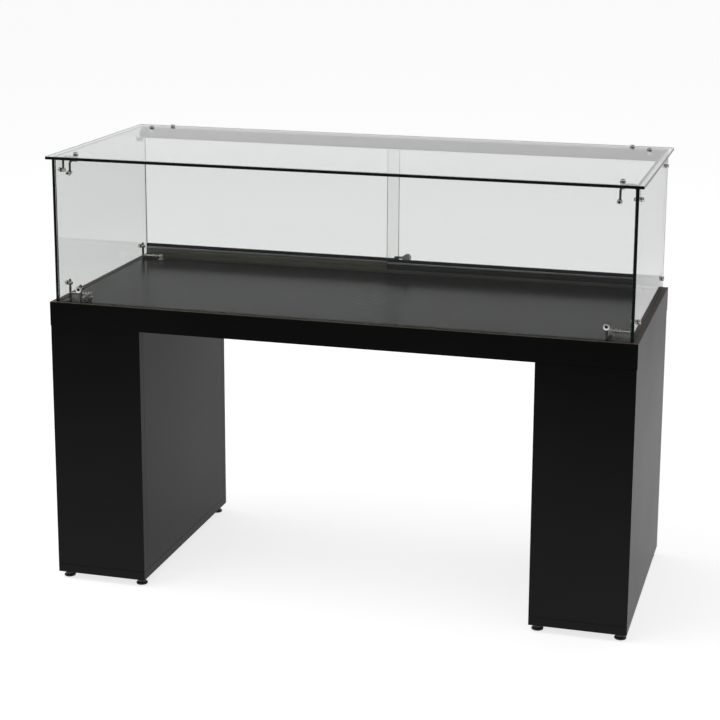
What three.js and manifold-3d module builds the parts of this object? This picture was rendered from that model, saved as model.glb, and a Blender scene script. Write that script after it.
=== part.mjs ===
// Glass display showcase: a black panel table on two box legs, carrying a frameless glass case
// with rod-and-pin corner connectors and two sliding glass doors at the back.
//
// Frame: millimetres, +Z up, the front towards -Y, the origin on the floor under the middle.

import * as THREE from 'three';
import { mergeVertices } from 'three/addons/utils/BufferGeometryUtils.js';
import Module from 'manifold-3d';

const wasm = await Module();
wasm.setup();

// ---------------------------------------------------------------- driving dimensions

const WIDTH = 1200;
const DEPTH = 500;
const TABLE_HEIGHT = 600;
const CASE_HEIGHT = 300;
const GAP = 0.3; // left between pieces that touch
const PAST = 1; // how far a cutter runs past a face, or a joined piece runs into its neighbour

const BOARD = 18;
const DECK_THICKNESS = 50;
const DECK_BOTTOM_BOARD = 12;
const LEG_WIDTH = 195;
const LEG_SETBACK = 1; // the deck stands this far proud of each leg's outer side

const FOOT_HEIGHT = 15;
const FOOT_RADIUS = 12;
const FOOT_FROM_SIDE = 15;
const FOOT_FROM_FRONT = 22;
const FOOT_STEM_RADIUS = 4;
const FOOT_STEM_LENGTH = 15.5;

const GLASS = 6;
const GLASS_INSET = 10; // from the table's edge to the upright glass
const DOOR_GLASS = 5;

const ARM_RADIUS = 2;
const POST_RADIUS = 2.5;
const SHANK_RADIUS = 2;
const THREAD_CLEARANCE = 0.3;
const GLASS_HOLE_RADIUS = 3.5;
const BOSS_RADIUS = 3.4;
const BOSS_LENGTH = 8;
const PIN_BORE_WALL = 1; // left at the blind end of a pin's thread
const SCREW_BORE_PAST_ARM = 1;
const HUB_RADIUS = 5;
const SIDE_HEAD_RADIUS = 4.5;
const TOP_FRONT_HEAD_RADIUS = 5;
const LOW_FRONT_HEAD_RADIUS = 6.5;
const PIN_HEAD_HEIGHT = 5;
const SCREW_HEAD_RADIUS = 5;
const SCREW_HEAD_HEIGHT = 4;
const SOCKET_RADIUS = 2.2;
const SOCKET_DEPTH = 2.5;
const HEX = 6;
const COLLAR_RADIUS = 4.5;
const COLLAR_THICKNESS = 2;
const TOP_CONNECTOR_FROM_EDGE = 46;
const LOW_CONNECTOR_FROM_EDGE = 62;
const REAR_CONNECTOR_FROM_EDGE = 45;
const PIN_FROM_TOP_GLASS = 27;
const PIN_ABOVE_DECK = 28;
const POST_PAST_PIN_TOP = 4;
const POST_PAST_PIN_LOW = 8;
const TOP_ARM_BELOW_GLASS = 5;
const TOP_HUB_BELOW_ARM = 4;
const LOW_ARM_ABOVE_DECK = 7;
const LOW_HUB_HEIGHT = 12;
const DECK_BOLT_RADIUS = 2.5;
const DECK_BOLT_LENGTH = 12;

const TRACK_WIDTH = 24;
const TRACK_WALL = 1.5;
const UPPER_TRACK_HEIGHT = 24;
const UPPER_TRACK_WEB = 2;
const LOWER_TRACK_HEIGHT = 7;
const LOWER_TRACK_WEB = 1.8;
const TRACK_SCREW_FROM_SIDE = 85;

const DOOR_OVERLAP = 24;
const DOOR_SIDE_CLEARANCE = 1.5;
const DOOR_TOP = 885;
const SHOE_TOP = 630;
const SHOE_BOTTOM = 603.3;
const SHOE_SKIRT_HALF = 4.5;
const SHOE_SKIRT_TOP = 619;
const SHOE_CLAMP_HALF = 3.8;
const SHOE_CLAMP_BOTTOM = 621;
const SHOE_GROOVE_BOTTOM = 618.7;
const WHEEL_RADIUS = 7;
const WHEEL_HALF_WIDTH = 2.4;
const WHEEL_GROOVE_DEPTH = 1;
const WHEEL_FROM_DOOR_END = 60;
const WHEEL_END_CLEARANCE = 2;
const WHEEL_SIDE_CLEARANCE = 0.5;
const WHEEL_TOP_CLEARANCE = 0.8;
const AXLE_RADIUS = 1.5;
const AXLE_HALF_LENGTH = 4.2;

const LOCK_FROM_DOOR_EDGE = 17.5;
const LOCK_RADIUS = 8.5;
const LOCK_HEIGHT = 631.5; // of its axis above the floor
const LOCK_BAR_ABOVE_SHOE = 0.6;
const LOCK_BAR_HEIGHT = 3.8;
const LOCK_CLAMP_LENGTH = 9; // how far the clamp reaches over the pane
const LOCK_CYLINDER_RADIUS = 5;
const LOCK_BAR_THICKNESS = 3;
const LOCK_CLAMP_THICKNESS = 2;
const LOCK_FROM_REAR = 5; // from the housing's face to the back of the table
const LOCK_CYLINDER_PROUD = 1;
const KEYWAY_HALF_WIDTH = 0.8;
const KEYWAY_HALF_HEIGHT = 3;
const KEYWAY_DEPTH = 8;

// ---------------------------------------------------------------- derived places

const HALF_WIDTH = WIDTH / 2;
const HALF_DEPTH = DEPTH / 2;
const DECK_BOTTOM = TABLE_HEIGHT - DECK_THICKNESS;
const GLASS_UNDERSIDE = TABLE_HEIGHT + CASE_HEIGHT - GLASS;
const GLASS_TOP = TABLE_HEIGHT + CASE_HEIGHT;
const PANEL_OUTER_X = HALF_WIDTH - GLASS_INSET;
const PANEL_INNER_X = PANEL_OUTER_X - GLASS;
const PANEL_FRONT_Y = -(HALF_DEPTH - GLASS_INSET);
const PANEL_REAR_Y = HALF_DEPTH - GLASS_INSET;
const FRONT_GLASS_INNER_Y = PANEL_FRONT_Y + GLASS;
const PANEL_BOTTOM = TABLE_HEIGHT + GAP;
const PANEL_TOP = GLASS_UNDERSIDE - GAP;
const TOP_PIN_Z = GLASS_UNDERSIDE - PIN_FROM_TOP_GLASS;
const LOW_PIN_Z = TABLE_HEIGHT + PIN_ABOVE_DECK;
const TRACK_REAR_Y = PANEL_REAR_Y;
const TRACK_FRONT_Y = TRACK_REAR_Y - TRACK_WIDTH;
const TRACK_MIDDLE_Y = (TRACK_FRONT_Y + TRACK_REAR_Y) / 2;
const LANE_OFFSET = (TRACK_WIDTH - TRACK_WALL) / 4;
const FRONT_LANE_Y = TRACK_MIDDLE_Y - LANE_OFFSET;
const REAR_LANE_Y = TRACK_MIDDLE_Y + LANE_OFFSET;
const TRACK_HALF_LENGTH = PANEL_INNER_X - 2 * GAP;
const DOOR_OUTER_X = PANEL_INNER_X - DOOR_SIDE_CLEARANCE;
const REAR_CONNECTOR_Y = HALF_DEPTH - REAR_CONNECTOR_FROM_EDGE;

const SIDES = [
  { name: 'left', sign: -1 },
  { name: 'right', sign: 1 },
];

// ---------------------------------------------------------------- materials

const melamine = () => new THREE.MeshStandardMaterial({ color: 0x1b1a19, roughness: 0.42, metalness: 0 });
const deckMelamine = () => new THREE.MeshStandardMaterial({ color: 0x2b2c2a, roughness: 0.3, metalness: 0 });
const clearGlass = () => new THREE.MeshStandardMaterial({
  color: 0xd6dfda,
  roughness: 0.05,
  metalness: 0,
  transparent: true,
  opacity: 0.3,
});
const chrome = () => new THREE.MeshStandardMaterial({ color: 0xd0d0cc, roughness: 0.15, metalness: 1 });
const aluminium = () => new THREE.MeshStandardMaterial({ color: 0xa8aaa4, roughness: 0.35, metalness: 1 });
const darkAluminium = () => new THREE.MeshStandardMaterial({
  color: 0x2a2b28,
  roughness: 0.4,
  metalness: 0.6,
});
const blackPlastic = () => new THREE.MeshStandardMaterial({ color: 0x141414, roughness: 0.5, metalness: 0 });
const paleNylon = () => new THREE.MeshStandardMaterial({ color: 0xd8d6cc, roughness: 0.45, metalness: 0 });

// ---------------------------------------------------------------- solid helpers

/** A three.js geometry as a closed manifold solid. */
function solidOf(geometry) {
  const bare = (geometry.index ? geometry.toNonIndexed() : geometry).clone();
  bare.deleteAttribute('normal');
  bare.deleteAttribute('uv');
  const merged = mergeVertices(bare, 1e-4);
  return new wasm.Manifold(new wasm.Mesh({
    numProp: 3,
    vertProperties: new Float32Array(merged.attributes.position.array),
    triVerts: new Uint32Array(merged.index.array),
  }));
}

/** A manifold solid as a three.js geometry. */
function geometryOf(solid) {
  const mesh = solid.getMesh();
  const geometry = new THREE.BufferGeometry();
  geometry.setAttribute('position', new THREE.BufferAttribute(new Float32Array(mesh.vertProperties), 3));
  geometry.setIndex(new THREE.BufferAttribute(new Uint32Array(mesh.triVerts), 1));
  geometry.computeVertexNormals();
  return geometry;
}

const joined = (solids) => solids.reduce((whole, piece) => whole.add(piece));
const cutBy = (solid, tools) => tools.reduce((left, tool) => left.subtract(tool), solid);

/** A block between two corners, whichever way round each pair of numbers is. */
function block([x0, x1], [y0, y1], [z0, z1]) {
  const geometry = new THREE.BoxGeometry(Math.abs(x1 - x0), Math.abs(y1 - y0), Math.abs(z1 - z0));
  return geometry.translate((x0 + x1) / 2, (y0 + y1) / 2, (z0 + z1) / 2);
}

const solidBlock = (x, y, z) => solidOf(block(x, y, z));

/** A round rod between two points. */
function rod(radius, from, to, sides = 12) {
  const start = new THREE.Vector3(...from);
  const end = new THREE.Vector3(...to);
  const geometry = new THREE.CylinderGeometry(radius, radius, start.distanceTo(end), sides);
  const along = end.clone().sub(start).normalize();
  geometry.applyQuaternion(new THREE.Quaternion().setFromUnitVectors(new THREE.Vector3(0, 1, 0), along));
  const middle = start.add(end).multiplyScalar(0.5);
  return solidOf(geometry.translate(middle.x, middle.y, middle.z));
}

/** A section drawn in the YZ plane and run along X. */
function extrudedAlongX(points, x0, x1) {
  const shape = new THREE.Shape(points.map(([y, z]) => new THREE.Vector2(y, z)));
  const geometry = new THREE.ExtrudeGeometry(shape, { depth: x1 - x0, bevelEnabled: false });
  const turn = new THREE.Matrix4().makeBasis(
    new THREE.Vector3(0, 1, 0),
    new THREE.Vector3(0, 0, 1),
    new THREE.Vector3(1, 0, 0),
  );
  return solidOf(geometry.applyMatrix4(turn).translate(x0, 0, 0));
}

/** A turned shape about Z from [radius, height] points that start and end on the axis. */
function turned(profile, segments) {
  const points = profile.map(([radius, height]) => new THREE.Vector2(radius, height));
  return new THREE.LatheGeometry(points, segments).rotateX(Math.PI / 2);
}

function piece(name, geometry, material) {
  const mesh = new THREE.Mesh(geometry, material);
  mesh.name = name;
  return mesh;
}

// ---------------------------------------------------------------- deck

/** The hollow table top: four edge rails round a top panel and a bottom panel. */
function makeDeck() {
  const deck = new THREE.Group();
  const railTop = TABLE_HEIGHT;
  const innerX = HALF_WIDTH - BOARD - GAP;
  const innerY = HALF_DEPTH - BOARD - GAP;

  for (const [name, sign] of [['front', -1], ['rear', 1]]) {
    const rail = block([-HALF_WIDTH, HALF_WIDTH], [sign * (HALF_DEPTH - BOARD), sign * HALF_DEPTH],
      [DECK_BOTTOM, railTop]);
    deck.add(piece(`deck_${name}_rail`, rail, melamine()));
  }
  for (const { name, sign } of SIDES) {
    const rail = block([sign * (HALF_WIDTH - BOARD), sign * HALF_WIDTH], [-innerY, innerY],
      [DECK_BOTTOM, railTop]);
    deck.add(piece(`deck_${name}_rail`, rail, melamine()));
  }

  const boltHoles = deckBoltPlaces().map(([x, y]) => rod(
    DECK_BOLT_RADIUS + THREAD_CLEARANCE,
    [x, y, TABLE_HEIGHT + PAST],
    [x, y, TABLE_HEIGHT - DECK_BOLT_LENGTH - GAP],
  ));
  const panel = cutBy(
    solidBlock([-innerX, innerX], [-innerY, innerY], [TABLE_HEIGHT - BOARD, TABLE_HEIGHT]),
    boltHoles,
  );
  deck.add(piece('deck_top_panel', geometryOf(panel), deckMelamine()));
  const bottom = block([-innerX, innerX], [-innerY, innerY], [DECK_BOTTOM, DECK_BOTTOM + DECK_BOTTOM_BOARD]);
  deck.add(piece('deck_bottom_panel', bottom, melamine()));
  return deck;
}

/** Where the four lower connectors are bolted to the deck. */
function deckBoltPlaces() {
  const x = HALF_WIDTH - LOW_CONNECTOR_FROM_EDGE;
  const frontY = -(HALF_DEPTH - LOW_CONNECTOR_FROM_EDGE);
  return [[-x, frontY], [x, frontY], [-x, REAR_CONNECTOR_Y], [x, REAR_CONNECTOR_Y]];
}

// ---------------------------------------------------------------- legs

/** One box leg: front and rear boards over two side boards, on a base board, under a top board. */
function makeLeg({ name, sign }) {
  const leg = new THREE.Group();
  const outer = HALF_WIDTH - LEG_SETBACK;
  const inner = HALF_WIDTH - LEG_WIDTH;
  const baseBottom = FOOT_HEIGHT + GAP;
  const baseTop = baseBottom + BOARD - GAP;
  const uprightZ = [baseTop + GAP, DECK_BOTTOM - GAP];
  const betweenY = HALF_DEPTH - BOARD - GAP;
  const across = [sign * inner, sign * outer];

  const outerSide = block([sign * (outer - BOARD), sign * outer], [-betweenY, betweenY], uprightZ);
  leg.add(piece(`${name}_leg_outer_side`, outerSide, melamine()));
  const innerSide = block([sign * inner, sign * (inner + BOARD)], [-betweenY, betweenY], uprightZ);
  leg.add(piece(`${name}_leg_inner_side`, innerSide, melamine()));
  const front = block(across, [-HALF_DEPTH, -HALF_DEPTH + BOARD], uprightZ);
  leg.add(piece(`${name}_leg_front`, front, melamine()));
  const rear = block(across, [HALF_DEPTH - BOARD, HALF_DEPTH], uprightZ);
  leg.add(piece(`${name}_leg_rear`, rear, melamine()));

  const topX = [sign * (inner + BOARD + GAP), sign * (outer - BOARD - GAP)];
  const top = block(topX, [-betweenY, betweenY], [uprightZ[1] - BOARD, uprightZ[1]]);
  leg.add(piece(`${name}_leg_top`, top, melamine()));

  const feet = footPlaces(sign);
  const holes = feet.map(({ x, y }) => rod(
    FOOT_STEM_RADIUS + THREAD_CLEARANCE,
    [x, y, baseBottom - PAST],
    [x, y, baseTop + PAST],
  ));
  const base = cutBy(solidBlock(across, [-HALF_DEPTH, HALF_DEPTH], [baseBottom, baseTop]), holes);
  leg.add(piece(`${name}_leg_base`, geometryOf(base), melamine()));

  for (const { label, x, y } of feet) {
    const foot = piece(`${name}_leg_foot_${label}`, footGeometry(), blackPlastic());
    foot.position.set(x, y, 0);
    leg.add(foot);
  }
  return leg;
}

function footPlaces(sign) {
  const y = HALF_DEPTH - FOOT_FROM_FRONT;
  const outerX = sign * (HALF_WIDTH - LEG_SETBACK - FOOT_FROM_SIDE);
  const innerX = sign * (HALF_WIDTH - LEG_WIDTH + FOOT_FROM_SIDE);
  return [
    { label: 'front_outer', x: outerX, y: -y },
    { label: 'front_inner', x: innerX, y: -y },
    { label: 'rear_outer', x: outerX, y },
    { label: 'rear_inner', x: innerX, y },
  ];
}

/** A levelling foot: a broad pad, a tapering neck and a stem up into the base board. */
function footGeometry() {
  const padThickness = 4;
  const shoulderHeight = 2;
  const chamfer = 1;
  const neckRadius = 8.5;
  const neckTopRadius = 7.5;
  return turned([
    [0, 0],
    [FOOT_RADIUS - chamfer, 0],
    [FOOT_RADIUS, chamfer],
    [FOOT_RADIUS, padThickness],
    [neckRadius, padThickness + shoulderHeight],
    [neckTopRadius, FOOT_HEIGHT],
    [FOOT_STEM_RADIUS, FOOT_HEIGHT],
    [FOOT_STEM_RADIUS, FOOT_HEIGHT + FOOT_STEM_LENGTH],
    [0, FOOT_HEIGHT + FOOT_STEM_LENGTH],
  ], 20);
}

// ---------------------------------------------------------------- fixed glass

/** The corner connectors' places in plan, with the height of the pins that each one holds. */
function connectors() {
  const list = [];
  for (const side of SIDES) {
    list.push({
      side,
      level: 'top',
      end: 'front',
      x: side.sign * (HALF_WIDTH - TOP_CONNECTOR_FROM_EDGE),
      y: -(HALF_DEPTH - TOP_CONNECTOR_FROM_EDGE),
      pinZ: TOP_PIN_Z,
    });
    list.push({
      side,
      level: 'top',
      end: 'rear',
      x: side.sign * (HALF_WIDTH - TOP_CONNECTOR_FROM_EDGE),
      y: REAR_CONNECTOR_Y,
      pinZ: TOP_PIN_Z,
    });
    list.push({
      side,
      level: 'low',
      end: 'front',
      x: side.sign * (HALF_WIDTH - LOW_CONNECTOR_FROM_EDGE),
      y: -(HALF_DEPTH - LOW_CONNECTOR_FROM_EDGE),
      pinZ: LOW_PIN_Z,
    });
    list.push({
      side,
      level: 'low',
      end: 'rear',
      x: side.sign * (HALF_WIDTH - LOW_CONNECTOR_FROM_EDGE),
      y: REAR_CONNECTOR_Y,
      pinZ: LOW_PIN_Z,
    });
  }
  return list;
}

const glassHole = (from, to) => rod(GLASS_HOLE_RADIUS, from, to, 16);

function makeFixedGlass() {
  const glass = new THREE.Group();
  const all = connectors();

  const frontHoles = all.filter(({ end }) => end === 'front').map(({ x, pinZ }) => glassHole(
    [x, PANEL_FRONT_Y - PAST, pinZ],
    [x, FRONT_GLASS_INNER_Y + PAST, pinZ],
  ));
  const front = solidBlock([-PANEL_INNER_X + GAP, PANEL_INNER_X - GAP], [PANEL_FRONT_Y, FRONT_GLASS_INNER_Y],
    [PANEL_BOTTOM, PANEL_TOP]);
  glass.add(piece('front_glass', geometryOf(cutBy(front, frontHoles)), clearGlass()));

  for (const side of SIDES) {
    const holes = all.filter((each) => each.side === side).map(({ y, pinZ }) => glassHole(
      [side.sign * (PANEL_INNER_X - PAST), y, pinZ],
      [side.sign * (PANEL_OUTER_X + PAST), y, pinZ],
    ));
    const panel = solidBlock([side.sign * PANEL_INNER_X, side.sign * PANEL_OUTER_X],
      [PANEL_FRONT_Y, PANEL_REAR_Y], [PANEL_BOTTOM, PANEL_TOP]);
    glass.add(piece(`${side.name}_glass`, geometryOf(cutBy(panel, holes)), clearGlass()));
  }

  const topHoles = all.filter(({ level }) => level === 'top').map(({ x, y }) => [x, y]);
  topHoles.push(...trackScrewPlaces());
  const top = solidBlock([-HALF_WIDTH, HALF_WIDTH], [-HALF_DEPTH, HALF_DEPTH], [GLASS_UNDERSIDE, GLASS_TOP]);
  const drills = topHoles.map(([x, y]) => glassHole(
    [x, y, GLASS_UNDERSIDE - PAST],
    [x, y, GLASS_TOP + PAST],
  ));
  glass.add(piece('top_glass', geometryOf(cutBy(top, drills)), clearGlass()));
  return glass;
}

// ---------------------------------------------------------------- corner connectors

/**
 * One connector: a hub, and for each glass panel that it holds an arm to the panel and a post
 * that carries the pin. The side pin is one piece with the connector. The front pin and the
 * screw through the top glass are pieces of their own, in threaded holes.
 */
function makeConnector({ side, level, end, x, y, pinZ }) {
  const group = new THREE.Group();
  const label = `${level}_${end}_${side.name}`;
  const isTop = level === 'top';
  const armZ = isTop ? GLASS_UNDERSIDE - TOP_ARM_BELOW_GLASS : TABLE_HEIGHT + LOW_ARM_ABOVE_DECK;
  const postFar = isTop ? pinZ - POST_PAST_PIN_TOP : pinZ + POST_PAST_PIN_LOW;
  const postNear = isTop ? armZ + POST_RADIUS : armZ - POST_RADIUS;
  const hubZ = isTop
    ? [armZ - TOP_HUB_BELOW_ARM, GLASS_UNDERSIDE - GAP]
    : [TABLE_HEIGHT + GAP, TABLE_HEIGHT + LOW_HUB_HEIGHT];
  const postX = side.sign * (PANEL_INNER_X - GAP - POST_RADIUS);
  const postY = FRONT_GLASS_INNER_Y + GAP + POST_RADIUS;
  const wallX = side.sign * (PANEL_INNER_X - GAP);
  const wallY = FRONT_GLASS_INNER_Y + GAP;
  const outsideX = side.sign * (PANEL_OUTER_X + GAP);
  const outwards = side.sign;
  const screwBoreEnd = armZ - SCREW_BORE_PAST_ARM;
  const pinBoreEnd = wallY + BOSS_LENGTH - PIN_BORE_WALL;

  const solids = [
    rod(HUB_RADIUS, [x, y, hubZ[0]], [x, y, hubZ[1]], 16),
    rod(ARM_RADIUS, [x, y, armZ], [postX, y, armZ]),
    rod(POST_RADIUS, [postX, y, postNear], [postX, y, postFar]),
    rod(BOSS_RADIUS, [wallX, y, pinZ], [wallX - outwards * BOSS_LENGTH, y, pinZ], 16),
    rod(SHANK_RADIUS, [wallX - outwards * PAST, y, pinZ], [outsideX + outwards * PAST, y, pinZ]),
    rod(SIDE_HEAD_RADIUS, [outsideX, y, pinZ], [outsideX + outwards * PIN_HEAD_HEIGHT, y, pinZ], 20),
  ];
  if (!isTop) {
    solids.push(rod(DECK_BOLT_RADIUS, [x, y, hubZ[0] + PAST], [x, y, TABLE_HEIGHT - DECK_BOLT_LENGTH]));
    solids.push(...collars((from, to) => [[x + outwards * from, y, armZ], [x + outwards * to, y, armZ]]));
  }
  if (end === 'front') {
    solids.push(
      rod(ARM_RADIUS, [x, y, armZ], [x, postY, armZ]),
      rod(POST_RADIUS, [x, postY, postNear], [x, postY, postFar]),
      rod(BOSS_RADIUS, [x, wallY, pinZ], [x, wallY + BOSS_LENGTH, pinZ], 16),
    );
    if (!isTop) {
      solids.push(...collars((from, to) => [[x, y - from, armZ], [x, y - to, armZ]]));
    }
  }

  const tools = [];
  if (isTop) {
    tools.push(rod(SHANK_RADIUS + THREAD_CLEARANCE, [x, y, GLASS_UNDERSIDE], [x, y, screwBoreEnd]));
  }
  if (end === 'front') {
    tools.push(rod(SHANK_RADIUS + THREAD_CLEARANCE, [x, wallY - PAST, pinZ], [x, pinBoreEnd, pinZ]));
  }
  group.add(piece(`${label}_connector`, geometryOf(cutBy(joined(solids), tools)), chrome()));

  if (isTop) {
    const screw = piece(`${label}_screw`, screwGeometry(GLASS_TOP + GAP, screwBoreEnd + GAP), chrome());
    screw.position.set(x, y, 0);
    group.add(screw);
  }
  if (end === 'front') {
    const headRadius = isTop ? TOP_FRONT_HEAD_RADIUS : LOW_FRONT_HEAD_RADIUS;
    const tipY = pinBoreEnd - GAP;
    group.add(piece(`${label}_pin`, frontPinGeometry(x, pinZ, headRadius, tipY), chrome()));
  }
  return group;
}

/** Two lock collars on a lower arm, given as distances out from the hub. */
function collars(along) {
  const firstCollar = 10;
  const collarPitch = 7;
  return [firstCollar, firstCollar + collarPitch].map((from) => rod(
    COLLAR_RADIUS,
    ...along(from, from + COLLAR_THICKNESS),
    16,
  ));
}

/** A socket-head screw that stands on the top glass and runs down to tipZ. */
function screwGeometry(seatZ, tipZ) {
  const body = joined([
    rod(SCREW_HEAD_RADIUS, [0, 0, seatZ], [0, 0, seatZ + SCREW_HEAD_HEIGHT], 20),
    rod(SHANK_RADIUS, [0, 0, seatZ + PAST], [0, 0, tipZ]),
  ]);
  const headTop = seatZ + SCREW_HEAD_HEIGHT;
  const socket = rod(SOCKET_RADIUS, [0, 0, headTop - SOCKET_DEPTH], [0, 0, headTop + PAST], HEX);
  return geometryOf(body.subtract(socket));
}

/** The pin that clamps the front glass to a post. */
function frontPinGeometry(x, z, headRadius, tipY) {
  const seatY = PANEL_FRONT_Y - GAP;
  const headY = seatY - PIN_HEAD_HEIGHT;
  const body = joined([
    rod(headRadius, [x, seatY, z], [x, headY, z], 20),
    rod(SHANK_RADIUS, [x, seatY - PAST, z], [x, tipY, z]),
  ]);
  const socket = rod(SOCKET_RADIUS, [x, headY + SOCKET_DEPTH, z], [x, headY - PAST, z], HEX);
  return geometryOf(body.subtract(socket));
}

// ---------------------------------------------------------------- door tracks

function trackScrewPlaces() {
  const x = HALF_WIDTH - TRACK_SCREW_FROM_SIDE;
  return [[-x, REAR_LANE_Y], [x, REAR_LANE_Y]];
}

/** A two-lane channel: a web with three walls standing on it. */
function trackSection(webFace, webInner, wallEnd) {
  const lowerY = TRACK_FRONT_Y;
  const upperY = TRACK_REAR_Y;
  const middle = [TRACK_MIDDLE_Y - TRACK_WALL / 2, TRACK_MIDDLE_Y + TRACK_WALL / 2];
  return [
    [lowerY, webFace],
    [lowerY, wallEnd],
    [lowerY + TRACK_WALL, wallEnd],
    [lowerY + TRACK_WALL, webInner],
    [middle[0], webInner],
    [middle[0], wallEnd],
    [middle[1], wallEnd],
    [middle[1], webInner],
    [upperY - TRACK_WALL, webInner],
    [upperY - TRACK_WALL, wallEnd],
    [upperY, wallEnd],
    [upperY, webFace],
  ];
}

function makeTracks() {
  const tracks = new THREE.Group();
  const upperTop = GLASS_UNDERSIDE - GAP;
  const upper = extrudedAlongX(
    trackSection(upperTop, upperTop - UPPER_TRACK_WEB, upperTop - UPPER_TRACK_HEIGHT),
    -TRACK_HALF_LENGTH,
    TRACK_HALF_LENGTH,
  );
  const screwHoles = trackScrewPlaces().map(([x, y]) => rod(
    SHANK_RADIUS + THREAD_CLEARANCE,
    [x, y, upperTop + PAST],
    [x, y, upperTop - UPPER_TRACK_WEB - PAST],
  ));
  tracks.add(piece('upper_track', geometryOf(cutBy(upper, screwHoles)), aluminium()));

  const lowerBottom = TABLE_HEIGHT + GAP;
  const lower = extrudedAlongX(
    trackSection(lowerBottom, lowerBottom + LOWER_TRACK_WEB, lowerBottom + LOWER_TRACK_HEIGHT),
    -TRACK_HALF_LENGTH,
    TRACK_HALF_LENGTH,
  );
  tracks.add(piece('lower_track', geometryOf(lower), darkAluminium()));

  const tipZ = upperTop - UPPER_TRACK_WEB + GAP;
  for (const [index, [x, y]] of trackScrewPlaces().entries()) {
    const screw = piece(`track_screw_${SIDES[index].name}`, screwGeometry(GLASS_TOP + GAP, tipZ), chrome());
    screw.position.set(x, y, 0);
    tracks.add(screw);
  }
  return tracks;
}

// ---------------------------------------------------------------- sliding doors

/** One door: a glass pane gripped by an edge shoe that runs on two wheels. */
function makeDoor({ name, x0, x1, laneY }) {
  const door = new THREE.Group();
  const pane = block([x0, x1], [laneY - DOOR_GLASS / 2, laneY + DOOR_GLASS / 2],
    [SHOE_GROOVE_BOTTOM + GAP, DOOR_TOP]);
  door.add(piece(`${name}_door_glass`, pane, clearGlass()));

  const wheelXs = [x0 + WHEEL_FROM_DOOR_END, x1 - WHEEL_FROM_DOOR_END];
  const wheelZ = TABLE_HEIGHT + GAP + LOWER_TRACK_WEB + GAP + WHEEL_RADIUS;
  const pocketHalfLength = WHEEL_RADIUS + WHEEL_END_CLEARANCE;
  const pocketHalfWidth = WHEEL_HALF_WIDTH + WHEEL_SIDE_CLEARANCE;
  const pocketTop = wheelZ + WHEEL_RADIUS + WHEEL_TOP_CLEARANCE;
  const grooveHalf = DOOR_GLASS / 2 + GAP;
  const section = [
    [-SHOE_SKIRT_HALF, SHOE_BOTTOM],
    [SHOE_SKIRT_HALF, SHOE_BOTTOM],
    [SHOE_SKIRT_HALF, SHOE_SKIRT_TOP],
    [SHOE_CLAMP_HALF, SHOE_CLAMP_BOTTOM],
    [SHOE_CLAMP_HALF, SHOE_TOP],
    [grooveHalf, SHOE_TOP],
    [grooveHalf, SHOE_GROOVE_BOTTOM],
    [-grooveHalf, SHOE_GROOVE_BOTTOM],
    [-grooveHalf, SHOE_TOP],
    [-SHOE_CLAMP_HALF, SHOE_TOP],
    [-SHOE_CLAMP_HALF, SHOE_CLAMP_BOTTOM],
    [-SHOE_SKIRT_HALF, SHOE_SKIRT_TOP],
  ].map(([y, z]) => [y + laneY, z]);
  const tools = wheelXs.flatMap((x) => [
    solidBlock([x - pocketHalfLength, x + pocketHalfLength],
      [laneY - pocketHalfWidth, laneY + pocketHalfWidth], [SHOE_BOTTOM - PAST, pocketTop]),
    rod(AXLE_RADIUS + THREAD_CLEARANCE, [x, laneY - SHOE_SKIRT_HALF - PAST, wheelZ],
      [x, laneY + SHOE_SKIRT_HALF + PAST, wheelZ]),
  ]);
  const shoe = cutBy(extrudedAlongX(section, x0, x1), tools);
  door.add(piece(`${name}_door_shoe`, geometryOf(shoe), darkAluminium()));

  for (const [index, x] of wheelXs.entries()) {
    const wheel = piece(`${name}_door_wheel_${index + 1}`, wheelGeometry(), paleNylon());
    wheel.rotation.x = Math.PI / 2;
    wheel.position.set(x, laneY, wheelZ);
    door.add(wheel);
  }
  return door;
}

/** A grooved wheel with its axle stubs, turned about its own axis. */
function wheelGeometry() {
  const rim = WHEEL_RADIUS - WHEEL_GROOVE_DEPTH;
  return turned([
    [0, -AXLE_HALF_LENGTH],
    [AXLE_RADIUS, -AXLE_HALF_LENGTH],
    [AXLE_RADIUS, -WHEEL_HALF_WIDTH],
    [WHEEL_RADIUS, -WHEEL_HALF_WIDTH],
    [rim, 0],
    [WHEEL_RADIUS, WHEEL_HALF_WIDTH],
    [AXLE_RADIUS, WHEEL_HALF_WIDTH],
    [AXLE_RADIUS, AXLE_HALF_LENGTH],
    [0, AXLE_HALF_LENGTH],
  ], 20);
}

function makeDoors() {
  const doors = new THREE.Group();
  doors.add(makeDoor({ name: 'left', x0: -DOOR_OUTER_X, x1: DOOR_OVERLAP / 2, laneY: REAR_LANE_Y }));
  doors.add(makeDoor({ name: 'right', x0: -DOOR_OVERLAP / 2, x1: DOOR_OUTER_X, laneY: FRONT_LANE_Y }));
  return doors;
}

// ---------------------------------------------------------------- lock

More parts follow.
